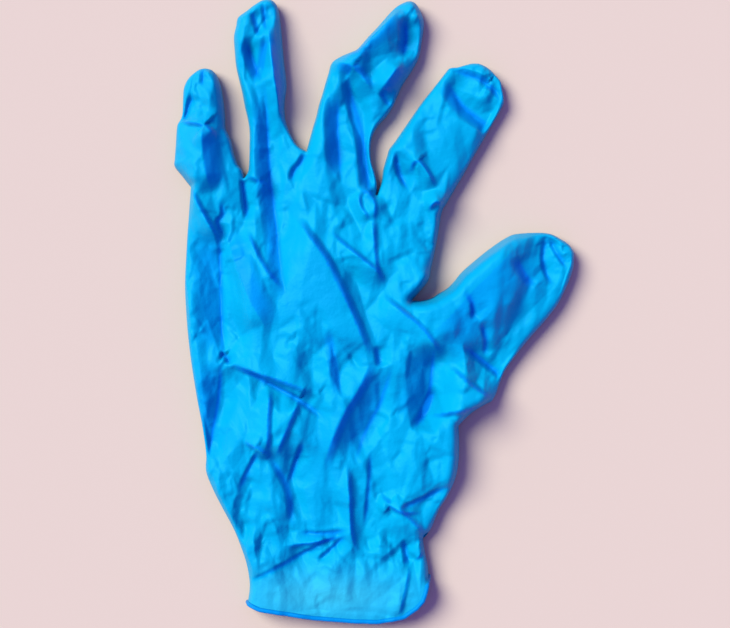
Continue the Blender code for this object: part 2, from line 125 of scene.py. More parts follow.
FOLDS = (
    # height, lit, away, path (across, up)
    # little finger
    Fold(-0.8, 2.0, 2.0, ((-66.5, 96), (-66.8, 86))),
    Fold(-1.6, 2.0, 3.0, ((-70.5, 84), (-72.5, 79), (-75, 72))),
    Fold(1.8, 3.5, 2.0, ((-77, 74), (-71, 72.5), (-66, 71), (-61, 65.5))),
    Fold(2.6, 6.0, 9.0, ((-66.5, 72), (-66.5, 60), (-63.5, 45))),
    Fold(1.8, 3.0, 2.0, ((-73, 49), (-66.5, 37), (-60, 26))),
    Fold(-1.2, 1.6, 1.6, ((-60, 43), (-59, 37), (-61, 34), (-57.5, 27))),
    Fold(2.8, 4.0, 10.0, ((-59, 33), (-54.5, 19), (-50, 8), (-46, 0), (-40.5, -9))),
    # ring finger
    Fold(
        -2.3, 6.8, 5.0,
        (
            (-43.5, 93), (-42.6, 78), (-42.2, 65), (-41.4, 52),
            (-40.2, 43), (-38.4, 31), (-36.5, 15), (-32.4, -2),
        ),
    ),
    Fold(-2.2, 4.0, 3.0, ((-51, 105), (-48, 97), (-44, 87))),
    Fold(-1.5, 3.0, 2.2, ((-42, 106), (-43.5, 98), (-45, 90))),
    Fold(-1.0, 1.8, 1.8, ((-48, 116), (-46.5, 111), (-45, 105))),
    Fold(-1.0, 1.8, 1.8, ((-43.4, 119), (-42.4, 107))),
    Fold(2.4, 3.0, 4.0, ((-42, 112), (-40.5, 98), (-39, 88), (-36.5, 74), (-34, 66))),
    Fold(1.5, 2.6, 1.6, ((-51, 52.5), (-45, 50), (-41.5, 46))),
    Fold(-2.2, 1.6, 3.4, ((-52, 54), (-51.6, 49), (-49.8, 34))),
    Fold(1.5, 4.5, 2.0, ((-51, 32), (-47, 24), (-42, 15), (-35, 7))),
    # crotches and knuckles
    Fold(-1.6, 1.8, 1.8, ((-27, 62), (-29.5, 57), (-32, 54), (-33, 49))),
    Fold(3.4, 14.0, 3.4, ((-34, 40), (-28, 31), (-20, 20), (-15, 10), (-10, 0), (-5, -12), (-0.5, -21))),
    Fold(1.6, 9.0, 4.0, ((-1, -16), (-6, -28), (-12, -38), (-17, -49), (-21, -62))),
    Fold(-1.7, 10.0, 8.0, ((6, -20), (2, -34), (-4, -46), (-9, -60))),
    Fold(-1.2, 2.0, 2.0, ((0, -13), (1.5, -22))),
    Fold(-1.3, 4.0, 4.0, ((-18, -6), (-16, -18), (-13, -34))),
    # middle finger
    Fold(-2.2, 6.5, 5.0, ((-15, 85), (-15, 66), (-13.5, 49))),
    Fold(-2.6, 4.0, 3.2, ((-11.5, 96), (-10.3, 85), (-6.4, 72), (-4.2, 60), (-3.2, 48), (-1, 36))),
    Fold(1.4, 1.6, 1.6, ((-7, 46.5), (-3, 45.5), (-0.8, 40.5), (-1.5, 34))),
    Fold(1.2, 1.6, 1.6, ((-7, 46), (-6.4, 40), (-2.5, 34.5))),
    Fold(1.4, 4.0, 2.0, ((-1.5, 37), (-1, 25), (0.3, 15), (3.5, 9))),
    Fold(2.0, 2.6, 4.0, ((-17, 95.5), (-11, 94), (-6, 90), (-1.5, 84))),
    Fold(3.2, 2.0, 13.0, ((-14, 96), (-5, 102.5), (3, 109), (10, 116.5))),
    Fold(-2.2, 4.0, 6.0, ((11, 113), (11.5, 104), (10, 97))),
    Fold(2.0, 2.4, 4.5, ((0.5, 83), (4, 87.5), (7, 91.5), (10.5, 95.5))),
    Fold(-1.4, 1.8, 2.2, ((1.5, 85), (4, 81), (8, 78))),
    # index finger
    Fold(-1.6, 2.6, 2.6, ((28, 93.5), (38, 90), (45, 86), (51, 80))),
    Fold(-2.8, 6.0, 4.0, ((26, 90), (33, 80), (39, 75), (47, 69))),
    Fold(2.0, 2.2, 2.2, ((12, 52), (14.5, 57.5), (18.5, 54), (22.5, 47))),
    Fold(1.8, 1.8, 1.8, ((19, 38), (23, 42), (28, 38))),
    Fold(-1.8, 2.0, 2.6, ((7.5, 62), (9, 53), (13.5, 46))),
    # thumb
    Fold(4.6, 8.0, 28.0, ((58, 29), (48, 19), (37, 8), (27, -3), (17, -12))),
    Fold(-3.2, 17.0, 5.0, ((22, -12), (21, -28), (17, -46))),
    Fold(-2.0, 2.4, 3.4, ((33, -13), (42, -20), (51, -27))),
    Fold(1.6, 3.0, 2.4, ((26, -20), (35, -28), (46, -35.5))),
    Fold(-1.2, 1.8, 3.0, ((33, 8), (36.5, 3), (37, -4))),
    Fold(-1.2, 1.8, 3.0, ((40, -4), (42.2, -11), (42, -18))),
    Fold(-1.4, 1.8, 2.0, ((66.5, 30), (64.5, 21), (66, 14), (69.5, 9))),
    Fold(-1.4, 1.8, 1.8, ((67, 29), (70, 22), (74.5, 16))),
    Fold(-1.6, 4.0, 4.0, ((53, 21), (57, 14), (61, 9))),
    # palm below the fingers
    Fold(1.5, 3.0, 2.2, ((-19, 31), (-12, 24.5), (-5, 19), (4, 11.5))),
    Fold(2.2, 3.4, 2.4, ((1, 6), (10, -1), (18, -8), (25, -18))),
    Fold(-3.4, 15.0, 5.0, ((-61, 34), (-60.5, 22), (-60, 4), (-59.5, -15), (-60, -22))),
    Fold(-3.2, 13.0, 5.0, ((-59.5, -16), (-61, -33), (-64, -50), (-66.5, -62))),
    Fold(-1.6, 1.6, 1.6, ((-60.5, -16), (-57.5, -18), (-56.5, -21))),
    Fold(2.0, 3.0, 2.6, ((-58, -19), (-49, -22.5), (-40, -25), (-24, -30.5))),
    Fold(-1.8, 2.0, 3.0, ((-55, -20), (-42, -27.5), (-30, -34), (-17, -43))),
    Fold(1.6, 3.0, 2.2, ((-41, -28), (-41.5, -42), (-42, -57))),
    Fold(1.4, 3.0, 2.0, ((-29.5, -33), (-34, -44), (-39.5, -57))),
    Fold(1.4, 2.0, 2.2, ((-51, -49), (-46, -52), (-41, -56))),
    Fold(-1.1, 1.6, 4.0, ((-44, -52), (-49, -61), (-53, -70))),
    Fold(-1.3, 2.4, 5.0, ((-42, -54), (-37, -62), (-33.5, -70), (-32, -84))),
    Fold(-1.6, 1.6, 4.0, ((-27.5, -49), (-31, -58), (-34, -68))),
    Fold(1.6, 2.6, 2.0, ((-11.5, -58), (-10.5, -72), (-10, -84), (-7.5, -95))),
    Fold(-0.9, 1.2, 5.0, ((-2, -53), (-2.8, -66), (-4.3, -84))),
    # heel and cuff
    Fold(-1.2, 2.0, 2.0, ((-10, -84.5), (-20, -86), (-31, -85.5))),
    Fold(1.2, 2.0, 2.0, ((-12, -86.5), (-24, -88.5), (-36, -90.5))),
    Fold(-1.0, 1.7, 3.0, ((-11, -85), (-20, -89), (-30, -95), (-52, -106))),
    Fold(-1.0, 1.8, 1.8, ((-11, -86), (-15, -90), (-23, -97))),
    Fold(-2.0, 3.0, 3.0, ((23, -29), (19.5, -38), (13.5, -46))),
    Fold(1.8, 2.6, 2.4, ((19, -40.5), (33, -37.5), (46.5, -36))),
    Fold(-1.2, 2.0, 5.0, ((7, -77), (19, -72), (29, -67))),
    Fold(1.4, 2.0, 2.0, ((0.5, -70.5), (8, -76), (17.5, -77.5))),
    Fold(1.4, 2.2, 2.0, ((7.5, -75.5), (13, -80.5), (18.5, -86))),
    Fold(-1.6, 2.0, 2.0, ((10.8, -88), (12.2, -99))),
    Fold(1.4, 2.0, 2.0, ((12.5, -97), (11, -106), (8, -118))),
    Fold(1.0, 1.6, 1.6, ((14.5, -96), (20, -91))),
)


# The outline, as in the part's own source
PALM_LEFT = (
    # across, up
    (-0.275, 0.04),
    (-0.268, 0.08),
    (-0.28, 0.128),
    (-0.307, 0.178),
    (-0.332, 0.214),
    (-0.37, 0.258),
    (-0.403, 0.299),
    (-0.428, 0.34),
    (-0.428, 0.378),
    (-0.441, 0.44),
    (-0.459, 0.5),
    (-0.472, 0.55),
    (-0.484, 0.6),
    (-0.494, 0.655),
    (-0.5, 0.705),
    (-0.504, 0.752),
    (-0.504, 0.79),
    (-0.501, 0.83),
    (-0.497, 0.875),
    (-0.491, 0.925),
    (-0.484, 0.987),
)
PALM_RIGHT_BELOW_THUMB = (
    # across, up
    (0.388, 0.099),
    (0.385, 0.122),
    (0.372, 0.163),
    (0.37, 0.19),
    (0.396, 0.207),
    (0.427, 0.252),
    (0.46, 0.285),
    (0.491, 0.333),
    (0.5, 0.388),
    (0.498, 0.443),
)
PALM_RIGHT_ABOVE_THUMB = (
    # across, up
    (0.328, 0.729),
    (0.385, 0.772),
    (0.397, 0.803),
    (0.41, 0.838),
    (0.422, 0.877),
    (0.432, 0.919),
)
PALM_CROWN = (
    # row, share
    (0, 0.0),
    (4, 0.15),
    (7, 0.6),
    (11, 1.0),
    (15, 1.0),
    (20, 0.75),
)
MOUTH = (
    # across, drop
    (0.0, 0.0),
    (0.07, 0.016),
    (0.37, 0.053),
    (0.58, 0.072),
    (0.72, 0.082),
    (0.86, 0.08),
    (0.93, 0.064),
    (0.97, 0.047),
    (1.0, 0.0),
)
KNUCKLES = (
    # across, rise
    (0.0, 0.0),
    (0.215, 0.036),
    (0.463, 0.114),
    (0.744, 0.033),
    (1.0, 0.0),
)


class Digit(NamedTuple):
    """A finger or the thumb: its frame on the palm, its sizes and the rows of its outline.

    root is the frame's place as shares of the palm's width and length, and turn is its
    direction in degrees from +X. Each outline row gives the left and right edge, along as a
    share of the length and across as a share of the width, positive to the left. bow is how far
    the middle of the last row, at the tip, lies ahead of its ends, as a share of the length.
    """

    root: tuple
    turn: float
    length: float
    width: float
    depth: float
    bow: float
    rows: tuple


LITTLE = Digit(
    root=(-0.393, 0.975),
    turn=94.4,
    length=48.0,
    width=20.0,
    depth=10.0,
    bow=0.02,
    rows=(
        # left along, left across, right along, right across
        (0.15, 0.62, 0.17, -0.545),
        (0.235, 0.755, 0.21, -0.475),
        (0.3, 0.74, 0.3, -0.415),
        (0.4, 0.705, 0.4, -0.38),
        (0.49, 0.675, 0.46, -0.335),
        (0.565, 0.64, 0.51, -0.29),
        (0.61, 0.565, 0.58, -0.292),
        (0.66, 0.525, 0.66, -0.295),
        (0.75, 0.5, 0.75, -0.285),
        (0.84, 0.47, 0.84, -0.265),
        (0.9, 0.41, 0.9, -0.235),
        (0.95, 0.31, 0.95, -0.19),
        (0.985, 0.19, 0.985, -0.12),
    ),
)
RING = Digit(
    root=(-0.172, 1.016),
    turn=93.0,
    length=67.8,
    width=18.0,
    depth=10.0,
    bow=0.01,
    rows=(
        # left along, left across, right along, right across
        (0.03, 0.59, 0.145, -0.56),
        (0.09, 0.56, 0.17, -0.47),
        (0.16, 0.54, 0.21, -0.39),
        (0.25, 0.52, 0.26, -0.315),
        (0.32, 0.54, 0.33, -0.26),
        (0.4, 0.595, 0.41, -0.27),
        (0.48, 0.635, 0.49, -0.325),
        (0.55, 0.685, 0.55, -0.325),
        (0.63, 0.735, 0.63, -0.305),
        (0.72, 0.75, 0.72, -0.29),
        (0.8, 0.75, 0.8, -0.28),
        (0.86, 0.69, 0.86, -0.27),
        (0.905, 0.64, 0.915, -0.255),
        (0.94, 0.45, 0.955, -0.225),
        (0.968, 0.3, 0.98, -0.18),
        (0.988, 0.17, 0.994, -0.12),
    ),
)
MIDDLE = Digit(
    root=(0.074, 1.011),
    turn=68.2,
    length=72.8,
    width=22.0,
    depth=10.0,
    bow=0.012,
    rows=(
        # left along, left across, right along, right across
        (0.14, 0.8, 0.03, -0.61),
        (0.2, 0.82, 0.08, -0.5),
        (0.25, 0.835, 0.125, -0.38),
        (0.31, 0.865, 0.18, -0.285),
        (0.37, 0.88, 0.25, -0.22),
        (0.425, 0.9, 0.32, -0.24),
        (0.48, 0.915, 0.38, -0.315),
        (0.54, 0.93, 0.445, -0.36),
        (0.585, 0.84, 0.51, -0.365),
        (0.63, 0.69, 0.57, -0.375),
        (0.655, 0.61, 0.615, -0.405),
        (0.7, 0.55, 0.66, -0.435),
        (0.745, 0.5, 0.7, -0.455),
        (0.8, 0.425, 0.75, -0.46),
        (0.86, 0.355, 0.82, -0.41),
        (0.905, 0.3, 0.88, -0.365),
        (0.945, 0.235, 0.93, -0.305),
        (0.975, 0.155, 0.965, -0.21),
        (0.992, 0.095, 0.987, -0.125),
    ),
)
INDEX = Digit(
    root=(0.319, 0.943),
    turn=58.3,
    length=61.5,
    width=24.0,
    depth=10.0,
    bow=0.01,
    rows=(
        # left along, left across, right along, right across
        (0.035, 0.595, 0.09, -0.48),
        (0.1, 0.67, 0.14, -0.48),
        (0.155, 0.715, 0.19, -0.475),
        (0.2, 0.745, 0.235, -0.475),
        (0.24, 0.77, 0.275, -0.47),
        (0.3, 0.755, 0.32, -0.47),
        (0.38, 0.745, 0.39, -0.465),
        (0.46, 0.735, 0.465, -0.455),
        (0.54, 0.725, 0.54, -0.45),
        (0.62, 0.71, 0.62, -0.445),
        (0.7, 0.685, 0.7, -0.44),
        (0.785, 0.66, 0.78, -0.435),
        (0.84, 0.645, 0.835, -0.427),
        (0.875, 0.625, 0.872, -0.412),
        (0.9, 0.54, 0.905, -0.35),
        (0.935, 0.455, 0.94, -0.27),
        (0.97, 0.365, 0.972, -0.185),
        (0.993, 0.27, 0.988, -0.05),
    ),
)
THUMB = Digit(
    root=(0.451, 0.599),
    turn=40.3,
    length=65.0,
    width=38.0,
    depth=10.0,
    bow=0.01,
    rows=(
        # left along, left across, right along, right across
        (0.11, 0.6, -0.1, -0.605),
        (0.165, 0.555, 0.0, -0.63),
        (0.21, 0.545, 0.04, -0.645),
        (0.27, 0.527, 0.09, -0.615),
        (0.33, 0.535, 0.15, -0.555),
        (0.4, 0.557, 0.22, -0.495),
        (0.5, 0.56, 0.35, -0.44),
        (0.59, 0.557, 0.46, -0.405),
        (0.67, 0.547, 0.555, -0.383),
        (0.73, 0.533, 0.64, -0.358),
        (0.78, 0.51, 0.72, -0.325),
        (0.83, 0.455, 0.8, -0.268),
        (0.88, 0.39, 0.87, -0.207),
        (0.93, 0.315, 0.925, -0.145),
        (0.96, 0.245, 0.955, -0.095),
        (0.985, 0.13, 0.985, -0.04),
    ),
)
FINGERS = (LITTLE, RING, MIDDLE, INDEX)


class Crease(Enum):
    """The sizes of the small creases that cover the film, from longest to shortest."""

    LONG = "long"
    SHORT = "short"
    FINE = "fine"


@dataclass(frozen=True)
class CreaseSizes:
    """How many creases of a kind there are, and the range of each of their sizes."""

    count: int
    length: tuple[float, float]
    height: tuple[float, float]
    flank: tuple[float, float]
    spread: float


CREASE_SIZES = {
    # count, length, height, flank, spread of direction in degrees
    Crease.LONG: CreaseSizes(80, (20.0, 50.0), (0.6, 1.8), (3.0, 7.0), 18.0),
    Crease.SHORT: CreaseSizes(170, (9.0, 22.0), (0.4, 1.1), (1.6, 3.4), 40.0),
    Crease.FINE: CreaseSizes(260, (4.0, 11.0), (0.2, 0.6), (0.9, 1.8), 70.0),
}


def smooth(share: np.ndarray) -> np.ndarray:
    """Eased 0 to 1, level at both ends."""
    share = np.clip(share, 0.0, 1.0)
    return share * share * (3.0 - 2.0 * share)


def between(rows: tuple, at: float) -> np.ndarray:
    """A table's values between two of its rows, on a smooth curve through all rows.

    Args:
        rows: The table, each row with the same number of values.
        at: The fractional row number.

    Returns:
        The values there.
    """
    first = min(int(at), len(rows) - 2)
    share = at - first
    places = [min(max(first + step, 0), len(rows) - 1) for step in (-1, 0, 1, 2)]
    before, start, end, after = (np.array(rows[place], float) for place in places)
    bend = 2.0 * before - 5.0 * start + 4.0 * end - after
    twist = 3.0 * (start - end) + after - before
    return start + 0.5 * share * ((end - before) + share * (bend + share * twist))


def listed(table: tuple, at: np.ndarray) -> np.ndarray:
    """The second column of a table at places in its first column."""
    return np.interp(at, [row[0] for row in table], [row[1] for row in table])


def steps(first: float, last: float, step: float) -> np.ndarray:
    """Numbers from first to last, evenly spaced."""
    return np.linspace(first, last, round((last - first) / step) + 1)


def segment_offsets(
    points: np.ndarray, start: np.ndarray, end: np.ndarray
) -> tuple[np.ndarray, np.ndarray]:
    """Where points lie beside a straight segment.

    Args:
        points: The points in plan.
        start: The segment's first end.
        end: Its other end.

    Returns:
        How far along the segment each point lies, 0 to 1, and its offset from the nearest place.
    """
    chord = end - start
    share = np.clip((points - start) @ chord / (chord @ chord), 0.0, 1.0)
    return share, points - start - share[:, None] * chord


@dataclass
class CreaseField:
    """All that the folds and creases add to the upper film's height, and the shade painted into its blue.

    light is the plan direction towards the key light, crest the radius of a crest, and taper the
    share of a fold's length over which each end dies away. gentle and steep scale the flank
    that faces the light and the other one, and sharp_share a named fold's height. line is the
    half width of a dark line of painted shade along a valley, shown in full from full_tone deep.
    The flank away from the light gets painted shade too, a deeper blue over shaded_reach of its
    width, which grows with its slope, as a share of full_slope, up to shaded_share.
    A path is followed in steps of path_step, and bend bows the small creases.
    """

    folds: tuple[Fold, ...]
    light: tuple[float, float] = (-0.84, 0.54)
    crest: float = 0.25
    taper: float = 0.28
    gentle: float = 2.4
    steep: float = 0.75
    line: float = 0.9
    full_tone: float = 2.0
    shaded_share: float = 0.7
    shaded_reach: float = 0.9
    full_slope: float = 0.7
    sharp_share: float = 1.5
    path_step: float = 0.34
    lean: Lean = Lean()
    bend: float = 0.2
    seed: int = 11

    def beside_path(self, here: np.ndarray, fold: Fold) -> tuple[np.ndarray, np.ndarray, np.ndarray]:
        """Where points lie beside a fold's path.

        Args:
            here: Points near the fold.
            fold: The fold.

        Returns:
            The distance of each point, how far along the path it lies, 0 to 1, and a number that
            is above zero on the path's side towards the light.
        """
        fine = np.array(
            [between(fold.path, at) for at in steps(0, len(fold.path) - 1, self.path_step)]
        )
        lengths = np.hypot(*np.diff(fine, axis=0).T)
        nearest = np.full(len(here), np.inf)
        along, side = np.zeros(len(here)), np.zeros(len(here))
        run = 0.0
        for start, end, length in zip(fine, fine[1:], lengths):
            share, off = segment_offsets(here, start, end)
            gap = np.hypot(off[:, 0], off[:, 1])
            closer = gap < nearest
            normal = np.array([start[1] - end[1], end[0] - start[0]])
            if normal @ np.array(self.light) < 0.0:
                normal = -normal
            nearest = np.where(closer, gap, nearest)
            along = np.where(closer, run + share * length, along)
            side = np.where(closer, off @ normal, side)
            run += length
        return nearest, along / run, side

    def marks(self, points: np.ndarray, fold: Fold) -> tuple[np.ndarray, np.ndarray]:
        """What one fold does at each point.

        The flank that faces the light is the gentle one, so that a fold shows as a dark line
        beside a broad lit plane.

        Args:
            points: Places on the photograph, in millimetres.
            fold: The fold, with its path in the same places.

        Returns:
            The height that it adds at each point, and the shade that it paints into the blue, below zero.
        """
        heights, tones = np.zeros(len(points)), np.zeros(len(points))
        path = np.array(fold.path, float)
        valley = fold.height < 0.0
        lit = fold.lit * (self.steep if valley else self.gentle)
        away = fold.away * (self.gentle if valley else self.steep)
        reach = max(lit, away)
        near = np.all(
            (points > path.min(axis=0) - reach) & (points < path.max(axis=0) + reach), axis=1
        )
        if not near.any():
            return heights, tones
        nearest, along, side = self.beside_path(points[near], fold)
        rounded = np.sqrt(nearest**2 + self.crest**2) - self.crest
        profile = np.clip(1.0 - rounded / np.where(side > 0.0, lit, away), 0.0, 1.0)
        ends = smooth(np.minimum(along, 1.0 - along) / self.taper)
        heights[near] = fold.height * profile * ends

        # Painted shade: a dark line along each valley, and a deeper blue on the flank turned away from the
        # key light that grows with its slope.
        line = np.exp(-((nearest / self.line) ** 2)) * (1.0 if valley else 0.0)
        line *= min(abs(fold.height) / self.full_tone, 1.0)
        slope = abs(fold.height) / (lit if valley else away)
        shade = min(slope / self.full_slope, self.shaded_share)
        shade *= np.exp(-((nearest / (self.shaded_reach * min(lit, away))) ** 4))
        shaded = (side > 0.0) == valley
        tones[near] = -ends * np.where(shaded, np.maximum(shade, line), line)
        return heights, tones

    def small_creases(self, points: np.ndarray) -> list[Fold]:
        """Small creases at seeded places on the film, mostly along the lines of the hand.

        Args:
            points: Places where a crease may start, in millimetres.

        Returns:
            The creases, as folds with three points each.
        """
        chance = random.Random(self.seed)
        made = []
        for kind in Crease:
            sizes = CREASE_SIZES[kind]
            for _ in range(sizes.count):
                middle = points[chance.randrange(len(points))]
                turned = smooth(np.array((middle[0] - self.lean.start) / self.lean.width))
                lean = self.lean.fingers - self.lean.change * turned
                turn = math.radians(lean + chance.gauss(0.0, sizes.spread))
                half = np.array([math.cos(turn), math.sin(turn)]) * chance.uniform(*sizes.length) / 2.0
                bend = np.array([-half[1], half[0]]) * chance.uniform(-self.bend, self.bend)
                height = chance.uniform(*sizes.height) * chance.choice((-1.0, 1.0))
                path = (tuple(middle - half), tuple(middle + bend), tuple(middle + half))
                lit, away = chance.uniform(*sizes.flank), chance.uniform(*sizes.flank)
                made.append(Fold(height, lit, away, path))
        return made

    def all_marks(self, points: np.ndarray) -> tuple[np.ndarray, np.ndarray]:
        """What all the folds and small creases do together.

        Args:
            points: Places on the photograph, in millimetres.

        Returns:
            The height that they add at each point, and the shade that they paint into the blue, below
            zero.
        """
        heights, tones = np.zeros(len(points)), np.zeros(len(points))
        for fold in self.folds:
            height, tone = self.marks(points, fold)
            heights += self.sharp_share * height
            # Only the named folds paint shade into the blue; the small creases add height alone.
            tones += tone
        for crease in self.small_creases(points):
            heights += self.marks(points, crease)[0]
        return heights, tones


@dataclass
class FacetField:
    """The flat facets that thin film breaks into when it is crumpled.

    Heights are taken at the crests of the folds and at scattered places, and between these the
    film is straight. Facets are grain times longer along the hand than across it. reach is how
    far the outermost corners lie from the photograph's zero, well clear of the film.
    """

    creases: CreaseField
    facets: Facets
    crest_step: float = 0.5
    grain: float = 2.0
    tries: int = 9000
    reach: tuple[float, float] = (160.0, 260.0)
    seed: int = 5

    def squeezed(self, places: np.ndarray) -> np.ndarray:
        """The places with their lengths along the hand cut down, so that facets come out long."""
        return places / np.array([1.0, self.grain])

    def crest_places(self) -> tuple[np.ndarray, list[tuple[int, int]]]:
        """Places along the crest of each fold.

        Returns:
            The places, and the pairs of them that the edge of a facet joins.
        """
        places, edges = [], []
        for fold in self.creases.folds:
            path = [between(fold.path, at) for at in steps(0, len(fold.path) - 1, self.crest_step)]
            first = len(places)
            edges += [(first + step, first + step + 1) for step in range(len(path) - 1)]
            places += path
        return np.array(places), edges

    def scattered(self, points: np.ndarray, taken: np.ndarray) -> np.ndarray:
        """Seeded places among the points that keep their distance from each other.

        Args:
            points: Places on the photograph where the film is, in millimetres.
            taken: Places that the new ones keep half the spacing from.

        Returns:
            The new places.
        """
        chance = random.Random(self.seed)
        spacing = self.facets.spacing
        crests = self.squeezed(taken)
        found = np.empty((0, 2))
        for _ in range(self.tries):
            place = points[chance.randrange(len(points))]
            flat = self.squeezed(place)
            if len(found) and np.hypot(*(self.squeezed(found) - flat).T).min() < spacing:
                continue
            if len(crests) and np.hypot(*(crests - flat).T).min() < spacing / 2.0:
                continue
            found = np.vstack([found, place])
        return found

    def corners(self, points: np.ndarray) -> tuple[np.ndarray, np.ndarray, list[list[int]]]:
        """The facets' corners and heights, and which corners each facet joins.

        Args:
            points: Places on the photograph where the film is, in millimetres.

        Returns:
            The corners' places, their heights, and the three corners of each facet.
        """
        chance = random.Random(self.seed + 1)
        crests, edges = self.crest_places() if self.creases.folds else (np.empty((0, 2)), [])
        wide, long = self.reach
        outermost = np.array([(x, y) for x in (-wide, wide) for y in (-long, long)])
        scattered = self.scattered(points, crests)
        places = np.vstack([crests, scattered, outermost])
        flat = [Vector(place) for place in self.squeezed(places)]
        placed, _, faces, sources, _, _ = delaunay_2d_cdt(flat, edges, [], 0, SAME_PLACE, True)
        corners = np.array([(vert.x, vert.y * self.grain) for vert in placed])
        levels = np.zeros(len(corners))
        for fold in self.creases.folds:
            levels += self.creases.marks(corners, fold)[0]
        first, last = len(crests), len(crests) + len(scattered)
        for corner, came_from in enumerate(sources):
            if any(first <= source < last for source in came_from):
                levels[corner] += chance.uniform(-self.facets.wave, self.facets.wave)
        return corners, levels, faces

    def heights(self, points: np.ndarray) -> np.ndarray:
        """The height that the facets add at each point.

        Args:
            points: Places on the photograph, in millimetres.

        Returns:
            One height for each point.
        """
        corners, levels, faces = self.corners(points)
        total = np.zeros(len(points))
        for face in faces:
            three = corners[face]
            start, ahead, aside = three
            near = np.all(
                (points >= three.min(axis=0) - SAME_PLACE) & (points <= three.max(axis=0) + SAME_PLACE),
                axis=1,
            )
            sides = np.array([ahead - start, aside - start]).T
            if not near.any() or abs(np.linalg.det(sides)) < NO_SHARE:
                continue
            shares = (points[near] - start) @ np.linalg.inv(sides).T
            inside = (shares.min(axis=1) >= -NO_SHARE) & (shares.sum(axis=1) <= 1.0 + NO_SHARE)
            low, high, side = levels[face]
            total[np.flatnonzero(near)[inside]] = low + shares[inside] @ np.array([high - low, side - low])
        return total


